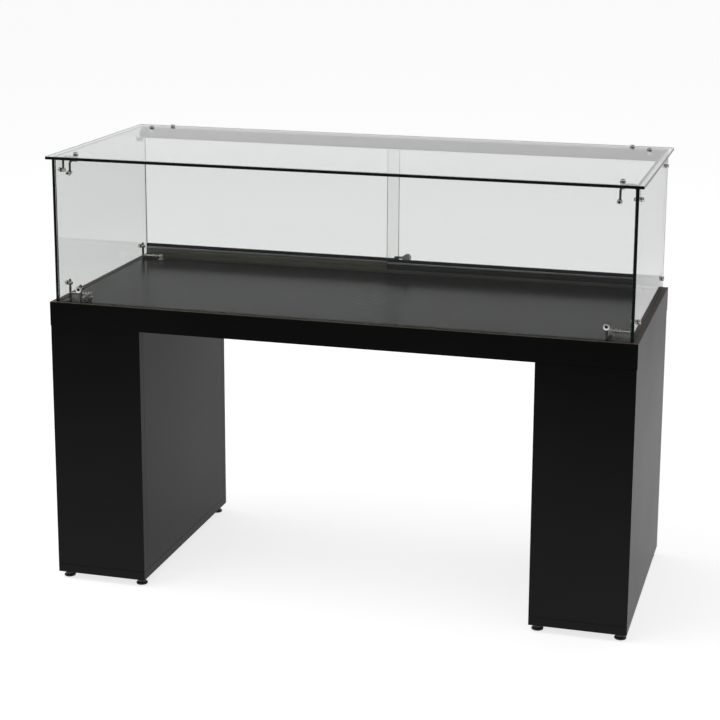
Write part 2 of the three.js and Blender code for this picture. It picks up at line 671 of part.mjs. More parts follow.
/** The lock on the left door's free edge: a clamp over the glass, a bar and a round key barrel. */
function makeLock() {
  const lock = new THREE.Group();
  const edgeX = DOOR_OVERLAP / 2;
  const axisX = edgeX + LOCK_FROM_DOOR_EDGE;
  const barBottom = SHOE_TOP + LOCK_BAR_ABOVE_SHOE;
  const barZ = [barBottom, barBottom + LOCK_BAR_HEIGHT];
  const clampEnd = edgeX - LOCK_CLAMP_LENGTH;
  const paneFront = REAR_LANE_Y - DOOR_GLASS / 2;
  const paneRear = REAR_LANE_Y + DOOR_GLASS / 2;
  const barFront = paneFront - GAP - LOCK_BAR_THICKNESS;
  const clampRear = paneRear + GAP + LOCK_CLAMP_THICKNESS;
  const housingRear = HALF_DEPTH - LOCK_FROM_REAR;
  const cylinderRear = housingRear + LOCK_CYLINDER_PROUD;

  const housing = joined([
    solidBlock([clampEnd, axisX], [barFront, paneFront - GAP], barZ),
    solidBlock([clampEnd, axisX], [paneRear + GAP, clampRear], barZ),
    solidBlock([edgeX + GAP, axisX], [barFront, clampRear], barZ),
    rod(LOCK_RADIUS, [axisX, barFront, LOCK_HEIGHT], [axisX, housingRear, LOCK_HEIGHT], 24),
  ]);
  const bore = rod(LOCK_CYLINDER_RADIUS + THREAD_CLEARANCE, [axisX, paneFront, LOCK_HEIGHT],
    [axisX, housingRear + PAST, LOCK_HEIGHT], 20);
  lock.add(piece('lock_body', geometryOf(housing.subtract(bore)), chrome()));

  const barrel = rod(LOCK_CYLINDER_RADIUS, [0, paneFront + GAP, 0], [0, cylinderRear, 0], 20);
  const keyway = solidBlock([-KEYWAY_HALF_WIDTH, KEYWAY_HALF_WIDTH],
    [cylinderRear - KEYWAY_DEPTH, cylinderRear + PAST], [-KEYWAY_HALF_HEIGHT, KEYWAY_HALF_HEIGHT]);
  const cylinder = piece('lock_cylinder', geometryOf(barrel.subtract(keyway)), chrome());
  cylinder.position.set(axisX, 0, LOCK_HEIGHT);
  lock.add(cylinder);
  return lock;
}

// ---------------------------------------------------------------- assembly

const showcase = new THREE.Group();
showcase.add(makeDeck());
SIDES.forEach((side) => showcase.add(makeLeg(side)));
showcase.add(makeFixedGlass());
connectors().forEach((each) => showcase.add(makeConnector(each)));
showcase.add(makeTracks());
showcase.add(makeDoors());
showcase.add(makeLock());

export default showcase;
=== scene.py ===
import math

import bmesh
import bpy
from mathutils import Matrix, Vector


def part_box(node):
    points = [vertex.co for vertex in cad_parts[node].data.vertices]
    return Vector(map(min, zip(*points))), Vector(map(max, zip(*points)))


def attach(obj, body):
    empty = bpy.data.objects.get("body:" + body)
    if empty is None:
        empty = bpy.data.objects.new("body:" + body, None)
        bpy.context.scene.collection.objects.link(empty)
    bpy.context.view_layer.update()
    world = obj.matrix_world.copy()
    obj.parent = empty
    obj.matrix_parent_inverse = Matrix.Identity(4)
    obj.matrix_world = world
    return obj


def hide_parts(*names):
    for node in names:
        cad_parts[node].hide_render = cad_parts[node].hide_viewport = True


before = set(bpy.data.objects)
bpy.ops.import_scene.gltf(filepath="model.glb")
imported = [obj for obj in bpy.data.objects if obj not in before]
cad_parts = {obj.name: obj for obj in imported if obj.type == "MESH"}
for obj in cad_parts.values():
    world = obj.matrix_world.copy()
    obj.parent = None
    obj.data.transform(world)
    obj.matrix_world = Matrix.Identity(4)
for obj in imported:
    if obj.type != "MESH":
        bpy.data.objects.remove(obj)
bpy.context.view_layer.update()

# A glass display showcase: a black panel table on two box legs, with a frameless glass case that
# rod connectors hold together and two sliding doors at the back. Everything is in metres, in the
# CAD model's frame, and every place is worked out from the CAD model's boxes.

MM = 0.001
X, Y, Z = Vector((1, 0, 0)), Vector((0, 1, 0)), Vector((0, 0, 1))
SIDES = (("left", -1), ("right", 1))

# The camera's place, direction, lens and vertical shift
CAMERA_PLACE = (0.9857, -3.5586, 1.4645)
CAMERA_AZIMUTH = math.radians(-15.655)
CAMERA_ELEVATION = math.radians(-12.523)
CAMERA_ROLL = math.radians(0.249)
CAMERA_LENS = 90.87
CAMERA_SHIFT = -0.12

SKY_HORIZON = 1.0
SKY_OVERHEAD = 0.35
SKY_IN_FRONT = 0.5         # the sky behind the camera, as a share of the rest
FLOOR_GLOW = 0.76

BOARD_EASE = 0.35 * MM     # the rounding of a board's edges
GLASS_ARRIS = 0.35 * MM    # the chamfer on a pane's polished edges
TRACK_EASE = 0.2 * MM
ROUND_STEPS = 40           # facets round a turned piece
SHARP_ANGLE = math.radians(32)

# Fittings, as the CAD model has them
TOP_ARM_DROP = 5 * MM      # from the top glass down to a top connector's arms
LOW_ARM_RISE = 7 * MM      # from the deck up to a lower connector's arms
TOP_POST_PAST_PIN = 4 * MM
LOW_POST_PAST_PIN = 8 * MM
COLLAR_STARTS = (10 * MM, 17 * MM)
COLLAR_THICKNESS = 2 * MM
SHANK_RADIUS = 2 * MM
SHANK_BORE = 2.1 * MM
SLEEVE_RADIUS = 3.4 * MM
TOP_SCREW_HEAD = (5 * MM, 4 * MM)
AXLE_RADIUS = 1.5 * MM
LOCK_BAR_RISE = 0.6 * MM   # from the shoe's top to the lock's bar
LOCK_BAR_HEIGHT = 3.8 * MM
KEYWAY = (1.6 * MM, 16 * MM, 6 * MM)

KEY_PLACE = (-1.6, -0.8, 3.6)
KEY_SIZE = 4.5
KEY_POWER = 70
FLOOR_REACH = 60


# ---------------------------------------------------------------- material nodes

class Nodes:
    """A Principled material's node tree, with short calls for the detail that feeds it."""

    def __init__(self, name, color, roughness, metallic=0.0, specular=0.5, **shader_values):
        self.material = bpy.data.materials.new(name)
        self.material.use_nodes = True
        self.tree = self.material.node_tree
        self.shader = self.tree.nodes["Principled BSDF"]
        self.shader.inputs["Base Color"].default_value = (*color, 1)
        self.shader.inputs["Roughness"].default_value = roughness
        self.shader.inputs["Metallic"].default_value = metallic
        self.shader.inputs["Specular IOR Level"].default_value = specular
        for socket, value in shader_values.items():
            self.shader.inputs[socket.replace("_", " ")].default_value = value
        self.coordinates = self.tree.nodes.new("ShaderNodeTexCoord").outputs["Object"]

    def link(self, output, target):
        self.tree.links.new(output, target)

    def stretched(self, scale):
        """Object coordinates scaled by a different amount along each axis."""
        mapping = self.tree.nodes.new("ShaderNodeMapping")
        mapping.inputs["Scale"].default_value = scale
        self.link(self.coordinates, mapping.inputs["Vector"])
        return mapping.outputs["Vector"]

    def noise(self, scale, detail=2.0, vector=None, roughness=0.5):
        node = self.tree.nodes.new("ShaderNodeTexNoise")
        node.inputs["Scale"].default_value = scale
        node.inputs["Detail"].default_value = detail
        node.inputs["Roughness"].default_value = roughness
        self.link(vector or self.coordinates, node.inputs["Vector"])
        return node.outputs["Fac"]

    def spread(self, value, low, high, start=0.3, end=0.7):
        """A value from low to high as the input goes from start to end."""
        node = self.tree.nodes.new("ShaderNodeMapRange")
        node.inputs["From Min"].default_value = start
        node.inputs["From Max"].default_value = end
        node.inputs["To Min"].default_value = low
        node.inputs["To Max"].default_value = high
        self.link(value, node.inputs["Value"])
        return node.outputs["Result"]

    def combine(self, operation, a, b):
        node = self.tree.nodes.new("ShaderNodeMath")
        node.operation = operation
        for socket, value in zip(node.inputs, (a, b)):
            if isinstance(value, (int, float)):
                socket.default_value = value
            else:
                self.link(value, socket)
        return node.outputs["Value"]

    def blend(self, value, first, second):
        """A colour between two, by a value from 0 to 1."""
        node = self.tree.nodes.new("ShaderNodeMix")
        node.data_type = "RGBA"
        node.inputs["A"].default_value = (*first, 1)
        node.inputs["B"].default_value = (*second, 1)
        self.link(value, node.inputs["Factor"])
        return node.outputs["Result"]

    def parts(self, vector, axis):
        node = self.tree.nodes.new("ShaderNodeSeparateXYZ")
        self.link(vector, node.inputs["Vector"])
        return node.outputs[axis]

    def color(self, output):
        self.link(output, self.shader.inputs["Base Color"])

    def roughness(self, output):
        self.link(output, self.shader.inputs["Roughness"])

    def bump(self, height, strength, distance):
        node = self.tree.nodes.new("ShaderNodeBump")
        node.inputs["Strength"].default_value = strength
        node.inputs["Distance"].default_value = distance
        self.link(height, node.inputs["Height"])
        self.link(node.outputs["Normal"], self.shader.inputs["Normal"])


def melamine(name, dark, light, roughness, specular, grain=0.04, sheen_fade_height=None):
    """
    Satin board facing: a fine pearl grain, faint clouds in the gloss and a little colour drift.
    The height argument is where, above the floor, a painted reflection of the bright floor has faded out: the
    facing is painted lighter towards the bottom.
    """
    nodes = Nodes(name, dark, roughness, specular=specular)
    clouds = nodes.noise(2.2, detail=3)
    if sheen_fade_height is None:
        shade_of = nodes.spread(clouds, 0, 1)
    else:
        height = nodes.parts(nodes.coordinates, "Z")
        # Painted reflection of the floor: lighter towards the bottom, fading out at the given height, with
        # random clouds on top.
        painted_floor_sheen = nodes.spread(height, 1, 0, start=0, end=sheen_fade_height)
        shade_of = nodes.combine("ADD", painted_floor_sheen, nodes.spread(clouds, -0.12, 0.12))
    nodes.color(nodes.blend(shade_of, dark, light))
    nodes.roughness(nodes.spread(clouds, roughness - 0.02, roughness + 0.02))
    nodes.bump(nodes.noise(420, detail=1), grain, 0.02 * MM)
    return nodes.material


def edge_banding():
    """The deck's edging: browner than the facing, with fine lines along it."""
    nodes = Nodes("edge_banding", (0.085, 0.070, 0.050), 0.45, specular=0.16)
    lines = nodes.noise(60, detail=3, vector=nodes.stretched((0.6, 0.6, 6)))
    nodes.color(nodes.blend(nodes.spread(lines, 0, 1), (0.078, 0.063, 0.044), (0.104, 0.085, 0.062)))
    nodes.roughness(nodes.spread(lines, 0.42, 0.5))
    nodes.bump(lines, 0.05, 0.03 * MM)
    return nodes.material


def clear_glass(name, thin, thick):
    """Float glass with a green-grey tint that drifts very slightly across the sheet."""
    nodes = Nodes(name, thin, 0.0, IOR=1.3, Transmission_Weight=1.0)
    nodes.color(nodes.blend(nodes.spread(nodes.noise(1.4, detail=2), 0, 1), thin, thick))
    return nodes.material


def pane_edge(name, deep, pale, roughness):
    """A pane's narrow edge, where the light that has run through the sheet shows its colour."""
    nodes = Nodes(name, deep, roughness, specular=0.12)
    ripples = nodes.noise(40, detail=3)
    nodes.color(nodes.blend(nodes.spread(ripples, 0, 1), deep, pale))
    nodes.roughness(nodes.spread(ripples, roughness - 0.04, roughness + 0.06))
    nodes.bump(ripples, 0.05, 0.05 * MM)
    return nodes.material


def plated(name, color, roughness, scratch=0.05, metallic=1.0):
    """Polished plating with hairline turning marks and slight clouding."""
    nodes = Nodes(name, color, roughness, metallic=metallic)
    hairlines = nodes.noise(900, detail=2, vector=nodes.stretched((1, 1, 5)))
    clouding = nodes.noise(160, detail=4)
    dull = tuple(channel * 0.78 for channel in color)
    nodes.color(nodes.blend(nodes.spread(clouding, 0, 1), dull, color))
    nodes.roughness(nodes.combine("ADD", nodes.spread(clouding, -0.03, 0.07), roughness))
    nodes.bump(hairlines, scratch, 0.02 * MM)
    return nodes.material


def extruded_metal(name, color, roughness, metallic=1.0):
    """Anodised extrusion with die lines along its length."""
    nodes = Nodes(name, color, roughness, metallic=metallic)
    die_lines = nodes.noise(1.0, detail=3, vector=nodes.stretched((3, 1500, 1500)))
    clouding = nodes.noise(14, detail=4)
    dull = tuple(channel * 0.8 for channel in color)
    nodes.color(nodes.blend(nodes.spread(clouding, 0, 1), dull, color))
    nodes.roughness(nodes.combine("ADD", nodes.spread(die_lines, -0.05, 0.08), roughness))
    nodes.bump(die_lines, 0.15, 0.03 * MM)
    return nodes.material


def moulded(name, color, roughness, grain=260, **shader_values):
    """Moulded plastic or rubber with a spark-eroded grain and handling marks."""
    nodes = Nodes(name, color, roughness, **shader_values)
    spark = nodes.noise(grain * 6, detail=2)
    marks = nodes.noise(45, detail=5)
    worn = tuple(channel * 1.5 + 0.004 for channel in color)
    nodes.color(nodes.blend(nodes.spread(marks, 0, 1, start=0.45, end=0.8), color, worn))
    nodes.roughness(nodes.combine("ADD", nodes.spread(marks, -0.05, 0.08), roughness))
    nodes.bump(spark, 0.25, 0.05 * MM)
    return nodes.material


# The black facings are painted lighter towards the floor: a painted reflection of the floor.
BLACK = melamine("black_melamine", (0.0008, 0.0006, 0.0006), (0.0115, 0.0110, 0.0115), 0.34, 0.07, sheen_fade_height=0.60)
# A darker copy of the black melamine for the legs' inner sides: painted shade.
SHADED_BLACK = melamine("painted_shade_black_melamine", (0.0012, 0.0011, 0.0010), (0.0028, 0.0026, 0.0024), 0.34, 0.08)
# A lighter copy of the black melamine for the outer sides and side rails: painted light.
LIT_BLACK = melamine(
    "painted_light_black_melamine", (0.0040, 0.0036, 0.0026), (0.0300, 0.0290, 0.0270), 0.34, 0.05, sheen_fade_height=0.55)
DECK = melamine("deck_melamine", (0.0026, 0.0030, 0.0023), (0.0036, 0.0041, 0.0032), 0.20, 0.10, grain=0.0)
EDGE = edge_banding()
GLASS = clear_glass("clear_glass", (0.800, 0.815, 0.806), (0.810, 0.823, 0.815))
DOOR_GLASS = clear_glass("door_glass", (0.905, 0.918, 0.912), (0.915, 0.926, 0.921))
GLASS_EDGE = pane_edge("glass_edge", (0.0003, 0.0022, 0.0012), (0.0012, 0.0070, 0.0042), 0.12)
# The doors' edges are painted pale: painted highlight lines.
DOOR_EDGE_HIGHLIGHT = pane_edge("door_edge_painted_highlight", (0.48, 0.54, 0.52), (0.62, 0.68, 0.66), 0.3)
CHROME = plated("fitting_chrome", (0.72, 0.71, 0.67), 0.12)
# The rods and posts: a darkened copy of the fitting chrome, painted shade.
SHADED_CHROME = plated("rod_chrome_painted_shade", (0.075, 0.072, 0.064), 0.16)
LOCK = plated("lock_chrome", (0.42, 0.45, 0.52), 0.3, metallic=0.4)
LOCK_FACE = plated("lock_face", (0.95, 0.96, 0.97), 0.45, metallic=0.0)
LOCK_CLAMP = plated("lock_clamp", (0.035, 0.037, 0.034), 0.35, metallic=0.4)
# The collars and lower hubs: a brighter, partly diffuse copy of the plating, painted light.
LIT_PLATING = plated("collar_plating_painted_light", (0.84, 0.82, 0.76), 0.34, metallic=0.45)
STEEL = plated("stem_steel", (0.45, 0.45, 0.44), 0.3)
ALUMINIUM = extruded_metal("track_aluminium", (0.082, 0.087, 0.077), 0.36)
DARK_TRACK = extruded_metal("track_dark", (0.105, 0.100, 0.076), 0.40, metallic=0.2)
REAR_SHOE = extruded_metal("shoe_olive", (0.165, 0.160, 0.112), 0.38, metallic=0.2)
FRONT_SHOE = extruded_metal("shoe_dark", (0.012, 0.014, 0.012), 0.38, metallic=0.5)
# The shoe's bead is painted pale: a painted highlight along the ledge.
BEAD_HIGHLIGHT = extruded_metal("shoe_bead_painted_highlight", (0.42, 0.44, 0.43), 0.3, metallic=0.6)
GLAZING = moulded("glazing_strip", (0.0015, 0.0015, 0.0012), 0.5, specular=0.08)
TAPE = moulded("bonding_tape", (0.62, 0.63, 0.61), 0.5)
SOCKET = moulded("socket_shadow", (0.004, 0.004, 0.004), 0.7, specular=0.1)
RUBBER = moulded("black_rubber", (0.008, 0.008, 0.008), 0.6)
FOOT = moulded("foot_plastic", (0.012, 0.012, 0.012), 0.45)
NYLON = moulded("wheel_nylon", (0.62, 0.60, 0.54), 0.42)
SLEEVE = moulded("clear_sleeve", (0.75, 0.77, 0.75), 0.25, Transmission_Weight=0.6)


# ---------------------------------------------------------------- mesh helpers

def shade(bm):
    """Smooth faces that meet at a sharp edge wherever the surface really turns."""
    bmesh.ops.recalc_face_normals(bm, faces=bm.faces)
    for face in bm.faces:
        face.smooth = True
    for edge in bm.edges:
        edge.smooth = len(edge.link_faces) == 2 and edge.calc_face_angle() < SHARP_ANGLE


def piece(name, bm, materials, body="showcase", stands_for=()):
    mesh = bpy.data.meshes.new(name)
    bm.to_mesh(mesh)
    bm.free()
    for material in materials:
        mesh.materials.append(material)
    obj = bpy.data.objects.new(name, mesh)
    bpy.context.collection.objects.link(obj)
    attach(obj, body)
    if stands_for:
        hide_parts(*stands_for)
    return obj


def ring_points(radius, steps, hexagonal):
    """A circle's points, or a hexagon's with its corners at the same radius."""
    sixth = math.pi / 3
    for step in range(steps):
        angle = step * math.tau / steps
        reach = radius * math.cos(sixth / 2) / math.cos(angle % sixth - sixth / 2) if hexagonal else radius
        yield math.cos(angle) * reach, math.sin(angle) * reach


def bridge(bm, rings):
    """Faces between neighbouring rings of vertices, where a ring of one vertex is a tip."""
    for lower, upper in zip(rings, rings[1:]):
        steps = max(len(lower), len(upper))
        for step in range(steps):
            after = (step + 1) % steps
            corners = [lower[step % len(lower)], lower[after % len(lower)],
                       upper[after % len(upper)], upper[step % len(upper)]]
            bm.faces.new(list(dict.fromkeys(corners)))


def lathe(profile, origin, axis=Z, steps=ROUND_STEPS, hexagonal=()):
    """A turned solid from (radius, distance along the axis) points. hexagonal lists hexagonal rings."""
    bm = bmesh.new()
    turn = Z.rotation_difference(Vector(axis)).to_matrix()
    if hexagonal:
        steps = 36
    rings = []
    for index, (radius, along) in enumerate(profile):
        if radius == 0:
            rings.append([bm.verts.new(Vector(origin) + turn @ Vector((0, 0, along)))])
            continue
        points = ring_points(radius, steps, index in hexagonal)
        rings.append([bm.verts.new(Vector(origin) + turn @ Vector((x, y, along))) for x, y in points])
    bridge(bm, rings)
    shade(bm)
    return bm


def tube(inner, outer, start, end, origin, axis=Z, ease=0.15 * MM):
    """A washer or sleeve with eased corners: a lathe profile that closes on itself."""
    bm = bmesh.new()
    turn = Z.rotation_difference(Vector(axis)).to_matrix()
    profile = [(inner, start), (outer - ease, start), (outer, start + ease), (outer, end - ease),
               (outer - ease, end), (inner, end)]
    rings = [
        [bm.verts.new(Vector(origin) + turn @ Vector((x, y, along)))
         for x, y in ring_points(radius, ROUND_STEPS, False)]
        for radius, along in profile
    ]
    bridge(bm, rings + rings[:1])
    shade(bm)
    return bm


def socket_head(radius, height, length, shank):
    """The profile of a socket screw: the tip at -length, the head's seat at 0, its top at height."""
    chamfer = 0.5 * MM
    socket = radius / 2
    depth = height * 0.7
    profile = [
        (0, -length), (shank - chamfer, -length), (shank, -length + chamfer), (shank, 0),
        (radius - chamfer / 2, 0), (radius, chamfer / 2), (radius, height - chamfer * 1.6),
        (radius - chamfer * 0.5, height - chamfer * 0.6), (radius - chamfer * 1.6, height),
        (socket + chamfer * 0.5, height), (socket, height - chamfer * 0.5), (socket, height - depth),
        (0, height - depth),
    ]
    return profile, (9, 10, 11)


def screw_piece(name, seat, out, radius, height, length, shank, stands_for):
    """A socket screw whose recess is painted dark: painted shade."""
    profile, hexagonal = socket_head(radius, height, length, shank)
    bm = lathe(profile, seat, out, hexagonal=hexagonal)
    for face in bm.faces:
        place = face.calc_center_median() - seat
        along = place.dot(out)
        inside = (place - out * along).length < radius * 0.52
        face.material_index = 1 if inside and 0 < along < height - 0.2 * MM else 0
    return piece(name, bm, [CHROME, SOCKET], stands_for=stands_for)


def rounded_path(points, bend, steps=7):
    """A polyline with each inner corner turned into an arc of that radius."""
    path = [Vector(points[0])]
    for before, corner, after in zip(points, points[1:], points[2:]):
        corner = Vector(corner)
        inward = (Vector(before) - corner).normalized()
        outward = (Vector(after) - corner).normalized()
        half = inward.angle(outward) / 2
        reach = bend / math.tan(half)
        centre = corner + (inward + outward).normalized() * (bend / math.sin(half))
        start = corner + inward * reach - centre
        end = corner + outward * reach - centre
        axis = start.cross(end).normalized()
        sweep = start.angle(end)
        path += [centre + Matrix.Rotation(sweep * step / steps, 3, axis) @ start for step in range(steps + 1)]
    return path + [Vector(points[-1])]


def swept_rod(points, radius, bend=5 * MM, steps=20):
    """A round rod along a flat path, with chamfered ends."""
    path = rounded_path(points, bend) if len(points) > 2 else [Vector(point) for point in points]
    chamfer = radius * 0.25
    first, last = (path[1] - path[0]).normalized(), (path[-1] - path[-2]).normalized()
    path = [path[0], path[0] + first * chamfer, *path[1:-1], path[-1] - last * chamfer, path[-1]]
    radii = [radius - chamfer] + [radius] * (len(path) - 2) + [radius - chamfer]
    side = first.orthogonal().normalized()
    bm = bmesh.new()
    rings = [[bm.verts.new(path[0])]]
    previous = first
    for index, (point, reach) in enumerate(zip(path, radii)):
        ahead = (path[min(index + 1, len(path) - 1)] - path[max(index - 1, 0)]).normalized()
        side = previous.rotation_difference(ahead).to_matrix() @ side
        previous = ahead
        up = ahead.cross(side)
        rings.append([bm.verts.new(point + side * x + up * y) for x, y in ring_points(reach, steps, False)])
    rings.append([bm.verts.new(path[-1])])
    bridge(bm, rings)
    shade(bm)
    return bm


def extruded(section, start, end, ease=TRACK_EASE):
    """A (y, z) section run along X, with its long edges eased."""
    bm = bmesh.new()
    rings = [[bm.verts.new((x, y, z)) for y, z in section] for x in (start, end)]
    bridge(bm, rings)
    bm.faces.new(rings[0])
    bm.faces.new(rings[1])
    bmesh.ops.recalc_face_normals(bm, faces=bm.faces)
    sharp = [edge for edge in bm.edges if edge.calc_face_angle() > SHARP_ANGLE]
    bmesh.ops.bevel(bm, geom=sharp, offset=ease, segments=2, affect="EDGES", profile=0.5, clamp_overlap=True)
    shade(bm)
    return bm


def bare_copy(node):
    """A CAD node's mesh with its flat faces made whole again."""
    bm = bmesh.new()
    bm.from_mesh(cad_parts[node].data)
    bmesh.ops.remove_doubles(bm, verts=bm.verts, dist=1e-6)
    bmesh.ops.dissolve_limit(bm, angle_limit=math.radians(1), verts=bm.verts, edges=bm.edges)
    return bm


def on_box_edge(edge, low, high, tolerance=1e-5):
    """Whether an edge lies along one of the twelve edges of a box."""
    shared = 0
    for axis in range(3):
        for limit in (low[axis], high[axis]):
            if all(abs(vertex.co[axis] - limit) < tolerance for vertex in edge.verts):
                shared += 1
    return shared == 2


def sheet_piece(node, ease, steps, materials, body="showcase", smooth=True, banded=None):
    """
    A board or a pane: its CAD shape with eased edges. materials are for its broad and its narrow
    faces, and banded is the one direction in which the narrow material shows, where there is one.
    """
    low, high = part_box(node)
    size = high - low
    thin = min(range(3), key=lambda axis: size[axis])
    bm = bare_copy(node)
    edges = [edge for edge in bm.edges if on_box_edge(edge, low, high)]
    bmesh.ops.bevel(bm, geom=edges, offset=ease, segments=steps, affect="EDGES", profile=0.5)
    bmesh.ops.recalc_face_normals(bm, faces=bm.faces)
    for face in bm.faces:
        narrow = face.normal.dot(banded) > 0.5 if banded else abs(face.normal[thin]) < 0.99
        face.material_index = 1 if narrow and len(materials) > 1 else 0
        face.smooth = smooth
    obj = piece(f"{node}_finished", bm, materials, body, (node,))
    if smooth:
        weighted = obj.modifiers.new("even_shading", "WEIGHTED_NORMAL")
        weighted.weight = 100
        weighted.keep_sharp = True
    return obj


# ---------------------------------------------------------------- the table

def make_table():
    for end in ("front", "rear", "left", "right"):
        # The side rails take the lighter copy of the black melamine: painted light.
        facing = BLACK if end in ("front", "rear") else LIT_BLACK
        sheet_piece(f"deck_{end}_rail", BOARD_EASE, 3, (facing, EDGE), banded=Z)
    sheet_piece("deck_top_panel", 0.3 * MM, 2, (DECK, EDGE))
    sheet_piece("deck_bottom_panel", BOARD_EASE, 2, (BLACK, EDGE))
    for side, _ in SIDES:
        for board in ("outer_side", "inner_side", "front", "rear", "top", "base"):
            # The outer sides take the painted-light copy and the inner sides the painted-shade copy of the
            # black melamine.
            facing = {"outer_side": LIT_BLACK, "inner_side": SHADED_BLACK}.get(board, BLACK)
            sheet_piece(f"{side}_leg_{board}", BOARD_EASE, 3, (facing,))


def make_foot(node):
    """A levelling foot: a rounded pad, a tapering neck and a threaded stem."""
    low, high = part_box(node)
    centre = (low + high) / 2
    origin = Vector((centre.x, centre.y, low.z))
    radius = (high.x - low.x) / 2
    neck = 8.6 * MM
    neck_top = 14.9 * MM
    pad = 4.2 * MM
    body = lathe([
        (0, 0), (radius - 1.6 * MM, 0), (radius - 0.6 * MM, 0.3 * MM), (radius, 1.1 * MM),
        (radius, pad - 1.2 * MM), (radius - 0.5 * MM, pad - 0.4 * MM), (radius - 1.6 * MM, pad),
        (neck + 1.2 * MM, pad + 0.6 * MM), (neck + 0.2 * MM, pad + 1.4 * MM), (neck, pad + 2.6 * MM),
        (neck - 0.6 * MM, neck_top - 0.6 * MM), (neck - 1.2 * MM, neck_top), (0, neck_top),
    ], origin)
    piece(f"{node}_pad", body, [FOOT], node, (node,))
    pitch = 1.25 * MM
    crest, root = 3.95 * MM, 3.3 * MM
    turns = int((high.z - low.z - neck_top) / pitch)
    thread = [(0, neck_top), (root, neck_top)]
    for turn in range(turns):
        at = neck_top + turn * pitch
        thread += [(crest, at + pitch * 0.4), (crest, at + pitch * 0.6), (root, at + pitch)]
    thread.append((0, neck_top + turns * pitch))
    piece(f"{node}_stem", lathe(thread, origin, steps=24), [STEEL], node)


def make_feet():
    for side, _ in SIDES:
        for end in ("front", "rear"):
            for flank in ("outer", "inner"):
                make_foot(f"{side}_leg_foot_{end}_{flank}")


# ---------------------------------------------------------------- the glass case

def make_glass():
    for name in ("front", "left", "right", "top"):
        sheet_piece(f"{name}_glass", GLASS_ARRIS, 1, (GLASS, GLASS_EDGE), smooth=False)


TABLE_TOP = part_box("deck_top_panel")[1].z
TOP_GLASS_LOW, TOP_GLASS_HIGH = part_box("top_glass")
FRONT_OUTER_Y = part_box("front_glass")[0].y
FRONT_INNER_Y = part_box("front_glass")[1].y
PIN_Z = {level: sum(corner.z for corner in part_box(f"{level}_front_left_pin")) / 2 for level in ("top", "low")}
HUB_RADIUS = 5 * MM
ARM_RADIUS = 2.1 * MM
POST_RADIUS = 2.5 * MM
WASHER = 0.3 * MM          # a washer's thickness, the gap that the CAD model leaves
BOSS_LENGTH = 8 * MM
SIDE_HEAD_RADIUS = 4.5 * MM
HEAD_HEIGHT = 5 * MM


def panel_pin(label, wall, through, out, head_radius, boss_radius=3.4 * MM, stands_for=()):
    """
    What clamps a pane at one hole: outside, a washer and a socket head; inside, a washer and a boss.
    wall is on the pane's inner face, out points to the outside, and through is the pane's thickness.
    """
    outside = wall + out * (through + WASHER)
    length = through + WASHER + BOSS_LENGTH * 0.6
    screw_piece(f"{label}_pin_screw", outside, out, head_radius, HEAD_HEIGHT, length, SHANK_RADIUS,
                stands_for)
    washer = tube(SHANK_BORE, head_radius + 0.4 * MM, 0, WASHER, wall + out * through, out, ease=0.1 * MM)
    piece(f"{label}_outer_washer", washer, [RUBBER])
    sleeve = tube(SHANK_BORE, SLEEVE_RADIUS, 0.1 * MM, through - 0.1 * MM, wall, out)
    piece(f"{label}_sleeve", sleeve, [SLEEVE])
    inner = tube(SHANK_BORE, boss_radius + 0.6 * MM, 0, WASHER, wall, -out, ease=0.1 * MM)
    piece(f"{label}_inner_washer", inner, [RUBBER])
    ease = 0.5 * MM
    tip = BOSS_LENGTH + WASHER
    boss = lathe([
        (0, WASHER), (boss_radius, WASHER), (boss_radius, tip - ease * 2.4),
        (boss_radius - ease, tip - ease * 0.8), (boss_radius - ease * 2.4, tip), (0, tip),
    ], wall, -out)
    piece(f"{label}_boss", boss, [CHROME])


def arm_collars(label, hub, out):
    """Two lock collars on a lower arm, each with a grooved rim."""
    thickness = COLLAR_THICKNESS
    rim = 4.6 * MM
    profile = [
        (0, 0), (rim - 0.4 * MM, 0), (rim, 0.4 * MM), (rim, 0.8 * MM), (rim - 0.35 * MM, thickness / 2),
        (rim, thickness - 0.8 * MM), (rim, thickness - 0.4 * MM), (rim - 0.4 * MM, thickness),
        (0, thickness),
    ]
    for index, start in enumerate(COLLAR_STARTS):
        collar = lathe(profile, hub + out * start, out)
        piece(f"{label}_collar_{index + 1}", collar, [LIT_PLATING])


def connector_hub(level, end, side, sign):
    """The middle of a connector's hub, at the height of its arms."""
    low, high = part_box(f"{level}_{end}_{side}_connector")
    inner_x = low.x if sign > 0 else high.x
    x = inner_x + sign * HUB_RADIUS
    y = high.y - HUB_RADIUS if end == "front" else (low.y + high.y) / 2
    z = TOP_GLASS_LOW.z - TOP_ARM_DROP if level == "top" else TABLE_TOP + LOW_ARM_RISE
    return Vector((x, y, z))


def make_top_hub(label, hub):
    """A top connector's hub hung under the glass by a screw, with a gasket and a nylon sleeve."""
    gasket = 0.8 * MM
    top = TOP_GLASS_LOW.z - gasket - hub.z
    ease = 0.6 * MM
    body = lathe([
        (0, -4.2 * MM), (HUB_RADIUS - ease * 2, -4.2 * MM), (HUB_RADIUS - ease * 0.5, -3.6 * MM),
        (HUB_RADIUS, -2.6 * MM), (HUB_RADIUS, top - ease), (HUB_RADIUS - ease, top), (0, top),
    ], hub)
    piece(f"{label}_hub", body, [CHROME], stands_for=(f"{label}_connector",))
    under = tube(2.2 * MM, HUB_RADIUS + 0.6 * MM, top, top + gasket, hub)
    piece(f"{label}_gasket", under, [RUBBER])
    make_top_screw(label, hub.x, hub.y, f"{label}_screw", hub.z)


